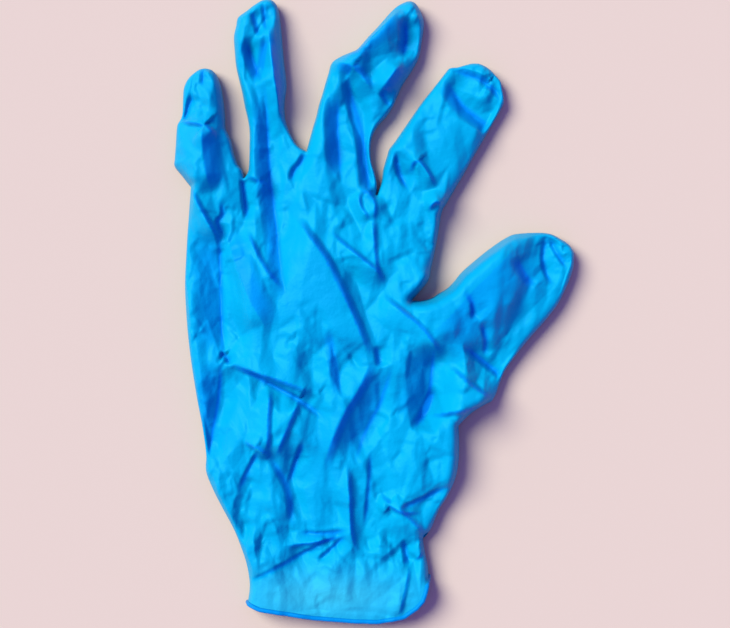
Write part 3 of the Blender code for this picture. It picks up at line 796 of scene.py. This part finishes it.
@dataclass
class GlovePlan:
    """The glove in plan, as strips of quads whose corners know how deep the glove is there.

    Depths are without folds. row_step and digit_step are the shares of an outline row that one
    row of quads takes up, in the palm and in a digit.
    """

    palm_width: float = 106.0
    palm_length: float = 170.0
    palm_depth: float = 14.5
    cuff_depth: float = 9.0
    finger_depth: float = 10.0
    rows: Rows = Rows()
    row_step: float = 0.0667
    digit_step: float = 0.155
    finger_columns: int = 45
    thumb_columns: int = 84
    last: int = field(init=False)
    thumb_start: int = field(init=False)
    thumb_end: int = field(init=False)

    def __post_init__(self) -> None:
        """Works out where the thumb's root lies among the palm's rows."""
        self.last = len(PALM_LEFT) - 1
        self.thumb_start = len(PALM_RIGHT_BELOW_THUMB) - 1
        self.thumb_end = self.last - (len(PALM_RIGHT_ABOVE_THUMB) - 1)

    def place(self, across: float, up: float) -> np.ndarray:
        """The plan point at shares of the palm's width and length."""
        return np.array([across * self.palm_width, up * self.palm_length])

    def digit_place(self, digit: Digit, along: float, across: float) -> np.ndarray:
        """The plan point at shares of a digit's length and width.

        Args:
            digit: The finger or thumb.
            along: The share of its length.
            across: The share of its width, positive to the left.

        Returns:
            The point.
        """
        turn = math.radians(digit.turn)
        ahead = np.array([math.cos(turn), math.sin(turn)]) * along * digit.length
        left = np.array([-math.sin(turn), math.cos(turn)]) * across * digit.width
        return self.place(*digit.root) + ahead + left

    def palm_edges(self, row: float) -> tuple[np.ndarray, np.ndarray]:
        """The palm's left and right edge.

        Args:
            row: The row's place between the rows of the palm's tables.

        Returns:
            The plan points at the left and at the right edge.
        """
        left = self.place(*between(PALM_LEFT, row))
        if row <= self.thumb_start:
            return left, self.place(*between(PALM_RIGHT_BELOW_THUMB, row))
        if row >= self.thumb_end:
            return left, self.place(*between(PALM_RIGHT_ABOVE_THUMB, row - self.thumb_end))
        low = self.place(*PALM_RIGHT_BELOW_THUMB[-1])
        high = self.place(*PALM_RIGHT_ABOVE_THUMB[0])
        share = (row - self.thumb_start) / (self.thumb_end - self.thumb_start)
        return left, low + share * (high - low)

    def palm_line(self, columns: np.ndarray, row: float) -> tuple[np.ndarray, np.ndarray]:
        """The plan points and depths across the palm in a row counted from the cuff.

        Args:
            columns: Shares across the palm, from its left edge.
            row: The row's place between the rows of the palm's tables.

        Returns:
            The points, and the glove's depth at each.
        """
        left, right = self.palm_edges(row)
        at_knuckles = smooth(1.0 - (self.last - row) / self.rows.knuckle)
        drop = listed(MOUTH, columns) * (1.0 - smooth(row / self.rows.mouth))
        rise = listed(KNUCKLES, columns) * at_knuckles
        points = left + columns[:, None] * (right - left)
        points[:, 1] += (rise - drop) * self.palm_length
        palm = self.cuff_depth + listed(PALM_CROWN, row) * (self.palm_depth - self.cuff_depth)
        depth = palm + at_knuckles * (self.finger_depth - palm)
        return points, np.full(len(columns), depth)

    def digit_rows(self, digit: Digit, left: np.ndarray, right: np.ndarray) -> list[tuple]:
        """A digit's outline rows as plan points, after a first row on its root line.

        Args:
            digit: The finger or thumb.
            left: The left end of its root line.
            right: The right end.

        Returns:
            Each row's left point, right point and bow in one tuple of five numbers.
        """
        rows = [(*left, *right, 0.0)]
        for left_along, left_across, right_along, right_across in digit.rows:
            row_left = self.digit_place(digit, left_along, left_across)
            row_right = self.digit_place(digit, right_along, right_across)
            bow = digit.bow * digit.length if len(rows) == len(digit.rows) else 0.0
            rows.append((*row_left, *row_right, bow))
        return rows

    def digit_points(
        self, digit: Digit, rows: list[tuple], columns: np.ndarray, row: float
    ) -> np.ndarray:
        """The plan points across a digit.

        Args:
            digit: The finger or thumb.
            rows: Its outline rows as plan points.
            columns: Shares across it, from its left edge.
            row: The row's place between its outline rows.

        Returns:
            One point for each column.
        """
        values = between(rows, row)
        turn = math.radians(digit.turn)
        ahead = np.array([math.cos(turn), math.sin(turn)])
        bow = values[4] * 4.0 * columns * (1.0 - columns)
        return values[:2] + columns[:, None] * (values[2:4] - values[:2]) + bow[:, None] * ahead

    def finger_line(
        self, digit: Digit, rows: list[tuple], columns: np.ndarray, row: float
    ) -> tuple[np.ndarray, np.ndarray]:
        """The plan points and depths across a finger, as digit_points takes them."""
        return self.digit_points(digit, rows, columns, row), np.full(len(columns), digit.depth)

    def thumb_line(
        self, rows: list[tuple], columns: np.ndarray, row: float
    ) -> tuple[np.ndarray, np.ndarray]:
        """The plan points and depths across the thumb, whose depth starts at the palm's.

        Args:
            rows: The thumb's outline rows as plan points.
            columns: Shares across it, from its left edge.
            row: The row's place between its outline rows.

        Returns:
            The points, and the glove's depth at each.
        """
        palm_rows = self.thumb_end - columns * (self.thumb_end - self.thumb_start)
        right_edge = np.array([1.0])
        at_root = np.array([self.palm_line(right_edge, palm_row)[1][0] for palm_row in palm_rows])
        depth = at_root + smooth(row / self.rows.thumb) * (THUMB.depth - at_root)
        return self.digit_points(THUMB, rows, columns, row), depth

    def add_strip(
        self, plan: bmesh.types.BMesh, columns: np.ndarray, rows: np.ndarray, line: Line, palm: bool
    ) -> None:
        """Adds one strip as a grid whose corners are moved to their plan points.

        Args:
            plan: The mesh that the strip joins.
            columns: Shares across the strip.
            rows: The strip's rows, counted from its root.
            line: Gives the points and depths across one row.
            palm: Whether the strip is the palm, whose first row is the cuff's mouth.
        """
        lines = [line(columns, row) for row in rows]
        made = bmesh.ops.create_grid(
            plan, x_segments=len(columns) - 1, y_segments=len(rows) - 1, size=1.0
        )
        depth_layer = plan.verts.layers.float["depth"]
        mouth_layer = plan.verts.layers.int["mouth"]
        for vert in made["verts"]:
            column = round((vert.co.x + 1.0) / 2.0 * (len(columns) - 1))
            row = round((vert.co.y + 1.0) / 2.0 * (len(rows) - 1))
            vert.co.x, vert.co.y = lines[row][0][column]
            vert[depth_layer] = lines[row][1][column]
            vert[mouth_layer] = 1 if palm and row == 0 else 0

    def palm_columns(self, shares: np.ndarray) -> np.ndarray:
        """Shares across the palm, so that each finger's columns run on down through it.

        Args:
            shares: Shares across one finger.

        Returns:
            The shares across the whole palm.
        """
        crotches = [row[0] for row in KNUCKLES]
        columns = [0.0]
        for low, high in zip(crotches, crotches[1:]):
            columns += [low + share * (high - low) for share in shares[1:]]
        return np.array(columns)

    def palm_rows(self) -> np.ndarray:
        """The rows across the palm, as many beside the thumb as the thumb has columns.

        Returns:
            Their places between the rows of the palm's tables.
        """
        below = steps(0, self.thumb_start, self.row_step)
        beside = np.linspace(self.thumb_start, self.thumb_end, self.thumb_columns + 1)
        above = steps(self.thumb_end, self.last, self.row_step)
        return np.concatenate([below[:-1], beside, above[1:]])

    def build(self) -> bmesh.types.BMesh:
        """Makes the whole plan.

        Returns:
            One sheet of quads, in millimetres.
        """
        plan = bmesh.new()
        plan.verts.layers.float.new("depth")
        plan.verts.layers.int.new("mouth")
        shares = np.linspace(0.0, 1.0, self.finger_columns + 1)
        self.add_strip(plan, self.palm_columns(shares), self.palm_rows(), self.palm_line, True)
        crotches = np.array([row[0] for row in KNUCKLES])
        knuckle_ends, _ = self.palm_line(crotches, self.last)
        for finger, left, right in zip(FINGERS, knuckle_ends, knuckle_ends[1:]):
            rows = self.digit_rows(finger, left, right)
            line = partial(self.finger_line, finger, rows)
            self.add_strip(plan, shares, steps(0, len(rows) - 1, self.digit_step), line, False)
        thumb_rows = self.digit_rows(
            THUMB, self.palm_edges(self.thumb_end)[1], self.palm_edges(self.thumb_start)[1]
        )
        thumb_shares = np.linspace(0.0, 1.0, self.thumb_columns + 1)
        thumb_steps = steps(0, len(thumb_rows) - 1, self.digit_step)
        self.add_strip(plan, thumb_shares, thumb_steps, partial(self.thumb_line, thumb_rows), False)
        bmesh.ops.remove_doubles(plan, verts=plan.verts, dist=SAME_PLACE)
        return plan


@dataclass
class GloveFilm:
    """The dipped film: the upper and the lower sheet, joined along the outline, open at the cuff.

    From the outline, edge_height up, the upper sheet rolls over within edge_roll to its depth.
    Its folds begin over fold_fade from the outline and fade by cuff_calm over cuff_fade below
    cuff_start on the photograph. Heights above high are eased so that most_depth is the top.
    """

    plan: GlovePlan
    creases: CreaseField
    edge_height: float = 3.0
    edge_roll: float = 5.5
    edge_power: float = 2.4
    least_depth: float = 3.8
    fold_fade: float = 2.4
    high: float = 16.5
    most_depth: float = 19.5
    cuff_calm: float = 0.55
    cuff_start: float = -95.0
    cuff_fade: float = 12.0
    broad_facets: Facets = Facets(7.0, 1.6)
    small_facets: Facets = Facets(3.4, 0.75)
    pale: PalePatch = PalePatch()

    def outline_distance(self, points: np.ndarray, edges: list[bmesh.types.BMEdge]) -> np.ndarray:
        """How far inside the outline points lie.

        Args:
            points: The points in plan.
            edges: The edges of the outline.

        Returns:
            Each point's distance from the nearest edge.
        """
        nearest = np.full(len(points), np.inf)
        for edge in edges:
            start, end = (np.array(vert.co[:2]) for vert in edge.verts)
            _, off = segment_offsets(points, start, end)
            nearest = np.minimum(nearest, off[:, 0] ** 2 + off[:, 1] ** 2)
        return np.sqrt(nearest)

    def surface(
        self, points: np.ndarray, depths: np.ndarray, inward: np.ndarray
    ) -> tuple[np.ndarray, np.ndarray, np.ndarray]:
        """The film's height above and below, its pale patch, and the shade painted into its blue.

        Args:
            points: The points in plan.
            depths: The glove's depth at each, without folds.
            inward: The distance of each from the outline.

        Returns:
            The upper and lower heights, and the tones, above zero in the pale patch and below zero where
            shade is painted.
        """
        on_photo = points - np.array(PHOTO_ZERO)
        across, up = on_photo.T
        folds, tones = self.creases.all_marks(on_photo)
        folds += FacetField(self.creases, self.broad_facets).heights(on_photo)
        folds += FacetField(CreaseField(()), self.small_facets).heights(on_photo)
        folds *= 1.0 - self.cuff_calm * smooth((self.cuff_start - up) / self.cuff_fade)
        flat_share = 1.0 - np.clip(inward / self.edge_roll, 0.0, 1.0)
        roll = (1.0 - flat_share**self.edge_power) ** (1.0 / self.edge_power)
        body = np.maximum(depths + folds * smooth(inward / self.fold_fade), self.least_depth)
        room = self.most_depth - self.high
        eased = self.high + room * np.tanh((body - self.high) / room)
        body = np.where(body > self.high, eased, body)
        upper = self.edge_height + (body - self.edge_height) * roll
        tuck = np.sqrt(1.0 - (1.0 - np.clip(inward / self.edge_height, 0.0, 1.0)) ** 2)
        lower = self.edge_height * (1.0 - tuck)

        # The painted shade of the folds, faded out near the outline, plus the pale patch of the cuff.
        tones = np.clip(tones, -1.0, 0.0) * smooth(inward / self.fold_fade)
        off_up = (up - self.pale.up) / self.pale.half_length
        off_across = (across - self.pale.across) / self.pale.half_width
        return upper, lower, tones + self.pale.share * np.exp(-(off_up**2) - off_across**2)

    def raise_sheets(self, sheet: bmesh.types.BMesh) -> None:
        """Gives the plan its height above and below, as two sheets welded along the outline.

        Args:
            sheet: The plan in millimetres, which becomes the film's outer face.
        """
        sheet.verts.index_update()
        depth_layer = sheet.verts.layers.float["depth"]
        mouth_layer = sheet.verts.layers.int["mouth"]
        # One attribute carries the pale patch and the shade painted by the folds.
        pale_and_shade_layer = sheet.verts.layers.float.new("pale_and_painted_shade")
        points = np.array([vert.co[:2] for vert in sheet.verts])
        depths = np.array([vert[depth_layer] for vert in sheet.verts])
        outline = [
            edge
            for edge in sheet.edges
            if edge.is_boundary and not all(vert[mouth_layer] for vert in edge.verts)
        ]
        rim = {vert.index for edge in outline for vert in edge.verts}
        inward = self.outline_distance(points, outline)
        inward[list(rim)] = 0.0
        upper, lower, tones = self.surface(points, depths, inward)

        originals = list(sheet.verts)
        made = bmesh.ops.duplicate(sheet, geom=originals + list(sheet.edges) + list(sheet.faces))
        seams = []
        for place, vert in enumerate(originals):
            copied = made["vert_map"][vert]
            vert.co.z, copied.co.z = upper[place], lower[place]
            vert[pale_and_shade_layer] = tones[place]
            if place in rim:
                seams += [vert, copied]
        bmesh.ops.remove_doubles(sheet, verts=seams, dist=SAME_PLACE)
        bmesh.ops.recalc_face_normals(sheet, faces=sheet.faces)
        self.join_flat_faces(sheet)

    def join_flat_faces(self, sheet: bmesh.types.BMesh) -> None:
        """Makes one face of all that lies flat on the floor, but for the rows at the mouth.

        Args:
            sheet: The film in millimetres.
        """
        flat = {
            face
            for face in sheet.faces
            if all(vert.co.z == 0.0 and not vert.is_boundary for vert in face.verts)
        }
        inner = [edge for edge in sheet.edges if len(flat.intersection(edge.link_faces)) == 2]
        bmesh.ops.dissolve_edges(sheet, edges=inner, use_verts=False)

    def fit(self, sheet: bmesh.types.BMesh, box: tuple[Vector, Vector]) -> None:
        """Moves and scales the film in plan so that it fills the frame's box.

        Args:
            sheet: The film in millimetres.
            box: The lowest and highest corner of the glove in the frame, in metres.
        """
        places = np.array([vert.co for vert in sheet.verts])
        low, high = places.min(axis=0), places.max(axis=0)
        low[1] -= CuffBead.room
        scale = [(box[1][axis] - box[0][axis]) / (high[axis] - low[axis]) for axis in (0, 1)]
        moved = Matrix.Translation((-low[0], -low[1], 0.0))
        sized = Matrix.Diagonal((scale[0], scale[1], MM, 1.0))
        placed = Matrix.Translation((box[0][0], box[0][1], box[0][2]))
        bmesh.ops.transform(sheet, matrix=placed @ sized @ moved, verts=sheet.verts)

    def build(
        self, box: tuple[Vector, Vector], material: bpy.types.Material
    ) -> tuple[bpy.types.Object, list[Vector]]:
        """Makes the film and lays it in the frame.

        Args:
            box: The lowest and highest corner of the glove in the frame, in metres.
            material: The film's finish.

        Returns:
            The film, and the path of the cuff's open edge.
        """
        sheet = self.plan.build()
        self.raise_sheets(sheet)
        self.fit(sheet, box)
        path = mouth_path(sheet)
        bmesh.ops.recalc_face_normals(sheet, faces=sheet.faces)
        film = as_object("glove_film", sheet)
        film.data.materials.append(material)
        return film, path


def mouth_path(sheet: bmesh.types.BMesh) -> list[Vector]:
    """Follows the cuff's open edge.

    Args:
        sheet: The film, open at the mouth alone.

    Returns:
        The points of the edge, in order round it.
    """
    start = next(edge for edge in sheet.edges if edge.is_boundary).verts[0]
    path, previous, here = [start.co.copy()], None, start
    while True:
        ahead = [edge for edge in here.link_edges if edge.is_boundary and edge is not previous]
        previous = ahead[0]
        here = previous.other_vert(here)
        if here is start:
            return path
        path.append(here.co.copy())


def linked(name: str, data: bpy.types.ID) -> bpy.types.Object:
    """A new object of this name and data, in the scene."""
    made = bpy.data.objects.new(name, data)
    bpy.context.scene.collection.objects.link(made)
    return made


def as_object(name: str, shape: bmesh.types.BMesh) -> bpy.types.Object:
    """Turns a finished mesh into a smooth-shaded object in the scene.

    Args:
        name: The object's name.
        shape: The mesh in metres, which is used up.

    Returns:
        The object.
    """
    mesh = bpy.data.meshes.new(name)
    shape.to_mesh(mesh)
    shape.free()
    mesh.shade_smooth()
    return linked(name, mesh)


@dataclass
class CuffBead:
    """The rolled edge of the cuff, a thin closed tube along its mouth.

    room is what the frame's box leaves for it past the mouth.
    """

    room: float = 1.3
    radius: float = 0.9
    sides: int = 10

    def build(self, path: list[Vector], material: bpy.types.Material) -> bpy.types.Object:
        """Makes the bead along the mouth.

        Args:
            path: The points of the cuff's open edge.
            material: The bead's finish.

        Returns:
            The bead.
        """
        curve = bpy.data.curves.new("cuff_bead_path", "CURVE")
        curve.dimensions = "3D"
        curve.bevel_depth = self.radius * MM
        curve.bevel_resolution = self.sides // 2 - 1
        curve.twist_mode = "MINIMUM"
        spline = curve.splines.new("POLY")
        kept = path[::2]
        spline.points.add(len(kept) - 1)
        for point, place in zip(spline.points, kept):
            point.co = (place.x, place.y, max(place.z, self.radius * MM), 1.0)
        spline.use_cyclic_u = True
        drawn = linked("cuff_bead_path", curve)
        bpy.context.view_layer.update()
        graph = bpy.context.evaluated_depsgraph_get()
        mesh = bpy.data.meshes.new_from_object(drawn.evaluated_get(graph))
        bpy.data.objects.remove(drawn)
        mesh.name = "cuff_bead"
        mesh.shade_smooth()
        mesh.materials.clear()
        mesh.materials.append(material)
        return linked("cuff_bead", mesh)


def linear(code: str) -> tuple[float, float, float, float]:
    """A linear colour with alpha from an sRGB hex code."""
    shares = [int(code[place : place + 2], 16) / 255.0 for place in (1, 3, 5)]
    return (*(s / 12.92 if s <= 0.04045 else ((s + 0.055) / 1.055) ** 2.4 for s in shares), 1.0)


def add_node(
    tree: bpy.types.NodeTree, kind: str, links: dict | None = None, **settings: object
) -> bpy.types.Node:
    """Adds a shader node.

    Args:
        tree: The material's nodes.
        kind: The node's Blender type name.
        links: Input name or number to the output socket, or the value, that it takes.
        settings: The node's own properties.

    Returns:
        The new node.
    """
    node = tree.nodes.new(kind)
    for name, value in settings.items():
        setattr(node, name, value)
    for name, value in (links or {}).items():
        if isinstance(value, bpy.types.NodeSocket):
            tree.links.new(value, node.inputs[name])
        else:
            node.inputs[name].default_value = value
    return node


def shaded(name: str, inputs: dict) -> tuple[bpy.types.Material, bpy.types.Node]:
    """Starts a material.

    Args:
        name: The material's name.
        inputs: The shader's input names to what they are all over the surface.

    Returns:
        The material and its shader.
    """
    made = bpy.data.materials.new(name)
    made.use_nodes = True
    shader = made.node_tree.nodes["Principled BSDF"]
    for each, value in inputs.items():
        shader.inputs[each].default_value = value
    return made, shader


@dataclass(frozen=True)
class NitrileFinish:
    """Nitrile rubber film, dip-moulded 0.1 mm thick and pigmented right through.

    The pigment in so thin a film gives a clear, saturated blue, and the chlorinated skin gives a satin
    gloss with no hard glints. Its base colour also carries painted shade, a deeper blue on the flanks
    turned away from the key light and along valleys.
    Sizes and depths of its patterns are in millimetres: clouds where the dip ran thick or thin,
    wrinkles, and the former's grain, really near 0.1 and drawn coarser so that it shows.
    """

    name: str = "dipped_nitrile"
    film: str = "#0095AC"
    deep: str = "#0083A6"
    # The blue painted in as shade on flanks turned from the key light and along valleys.
    shade: str = "#0064C0"
    pale: str = "#32A0A6"
    painted_shade_share: float = 0.7
    pale_share: float = 0.8
    gloss: str = "#3FA8FF"
    gloss_level: float = 0.3
    roughness: float = 0.46
    ior: float = 1.52
    cloud_size: float = 26.0
    wrinkle_size: float = 4.0
    wrinkle_depth: float = 0.8
    wrinkle_strength: float = 0.4
    grain_size: float = 0.7
    grain_depth: float = 0.1
    grain_strength: float = 0.3

    def material(self) -> bpy.types.Material:
        """Makes the finish.

        Returns:
            The material, which takes its pale patch and its painted shade from the film's tone attribute.
        """
        made, shader = shaded(
            self.name,
            {
                "Roughness": self.roughness,
                "IOR": self.ior,
                "Specular IOR Level": self.gloss_level,
                "Specular Tint": linear(self.gloss),
            },
        )
        tree = made.node_tree
        place = add_node(tree, "ShaderNodeTexCoord").outputs["Object"]
        clouds, wrinkles, grain = (
            add_node(
                tree,
                "ShaderNodeTexNoise",
                {"Vector": place, "Scale": 1.0 / (size * MM), "Detail": detail, "Roughness": roughness},
            ).outputs["Fac"]
            for size, detail, roughness in (
                (self.cloud_size, 3.0, 0.55),
                (self.wrinkle_size, 4.0, 0.6),
                (self.grain_size, 2.0, 0.5),
            )
        )
        tone = add_node(tree, "ShaderNodeAttribute", attribute_name="pale_and_painted_shade").outputs["Fac"]
        # Painted shade, below zero in the attribute, turns the base colour towards the shade blue; the
        # pale patch, above zero, turns it paler.
        painted_shading, paling = (
            add_node(
                tree, "ShaderNodeMapRange", {"Value": tone, "From Max": full, "To Max": share}
            ).outputs[0]
            for full, share in ((-1.0, self.painted_shade_share), (1.0, self.pale_share))
        )
        colour = linear(self.deep)
        for factor, code in ((clouds, self.film), (painted_shading, self.shade), (paling, self.pale)):
            links = {"Factor": factor, 6: colour, 7: linear(code)}
            colour = add_node(tree, "ShaderNodeMix", links, data_type="RGBA").outputs[2]
        tree.links.new(colour, shader.inputs["Base Color"])
        links = {}
        for height, strength, depth in (
            (wrinkles, self.wrinkle_strength, self.wrinkle_depth),
            (grain, self.grain_strength, self.grain_depth),
        ):
            links |= {"Strength": strength, "Distance": depth * MM, "Height": height}
            links["Normal"] = add_node(tree, "ShaderNodeBump", links).outputs["Normal"]
        tree.links.new(links["Normal"], shader.inputs["Normal"])
        made.diffuse_color = linear(self.film)
        return made


# The bead is the same film rolled up several times, and its deeper blue all over is partly those layers
# and partly painted shade of the bead's side turned away from the light.
ROLLED_AND_SHADED = NitrileFinish("rolled_nitrile", film="#007CAE", deep="#0070A6")


@dataclass(frozen=True)
class FloorFinish:
    """Matt pale pink card, which shows next to no gloss and no grain from this far."""

    name: str = "pale_floor"
    colour: str = "#B9AC93"
    roughness: float = 0.95
    gloss_level: float = 0.1

    def material(self) -> bpy.types.Material:
        """Makes the finish.

        Returns:
            The material.
        """
        inputs = {
            "Base Color": linear(self.colour),
            "Roughness": self.roughness,
            "Specular IOR Level": self.gloss_level,
        }
        return shaded(self.name, inputs)[0]


@dataclass
class Studio:
    """The floor, the window-like key light, the sky fill and the camera straight above.

    Lengths are in metres but for floor_gap and the camera's lens and sensor, in millimetres.
    """

    view_width: float = 0.2847
    lens: float = 85.0
    sensor: float = 36.0
    aim: tuple[float, float] = (-0.00351, -0.00105)
    key_strength: float = 1.38
    key_towards: tuple[float, float, float] = (-0.60, 0.385, 0.80)
    key_angle: float = 36.0
    fill: tuple[float, float, float] = (0.31, 0.23, 0.90)
    floor_half: float = 2.5
    floor_gap: float = 0.1

    def build_floor(self) -> bpy.types.Object:
        """Lays the floor just under the glove.

        Returns:
            The floor.
        """
        shape = bmesh.new()
        bmesh.ops.create_grid(shape, x_segments=4, y_segments=4, size=self.floor_half)
        bmesh.ops.translate(shape, vec=(0.0, 0.0, -self.floor_gap * MM), verts=shape.verts)
        floor = as_object("floor", shape)
        floor.data.materials.append(FloorFinish().material())
        return floor

    def build_camera(self) -> bpy.types.Object:
        """Hangs the camera straight above the place that it looks at.

        Returns:
            The camera.
        """
        data = bpy.data.cameras.new("camera")
        data.lens = self.lens
        data.sensor_width = self.sensor
        camera = linked("camera", data)
        camera.location = (*self.aim, self.view_width * self.lens / self.sensor)
        bpy.context.scene.camera = camera
        return camera

    def build_lights(self) -> None:
        """Adds the key light and the fill."""
        towards = Vector(self.key_towards).normalized()
        data = bpy.data.lights.new("key", "SUN")
        data.angle = math.radians(self.key_angle)
        data.energy = self.key_strength * math.pi / towards.z
        key = linked("key", data)
        key.location = towards
        key.rotation_mode = "QUATERNION"
        key.rotation_quaternion = (-towards).to_track_quat("-Z", "Y")
        world = bpy.data.worlds.new("studio")
        world.use_nodes = True
        sky = world.node_tree.nodes["Background"]
        sky.inputs["Color"].default_value = (*self.fill, 1.0)
        sky.inputs["Strength"].default_value = 1.0
        bpy.context.scene.world = world
        bpy.context.scene.view_settings.view_transform = "Standard"

    def build(self) -> None:
        """Sets up the whole studio."""
        self.build_floor()
        self.build_camera()
        self.build_lights()


def main() -> None:
    """Builds the glove and its studio in order, and reports the pieces."""
    logging.basicConfig(level=logging.INFO, format="%(name)s: %(message)s")
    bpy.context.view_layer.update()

    nitrile = NitrileFinish().material()
    film, path = GloveFilm(GlovePlan(), CreaseField(FOLDS)).build(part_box("glove"), nitrile)
    bead = CuffBead().build(path, ROLLED_AND_SHADED.material())
    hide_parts("glove")
    for piece in (film, bead):
        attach(piece, "root")
        LOG.info("%s: %d faces", piece.name, len(piece.data.polygons))

    Studio().build()


if __name__ == "__main__":
    main()
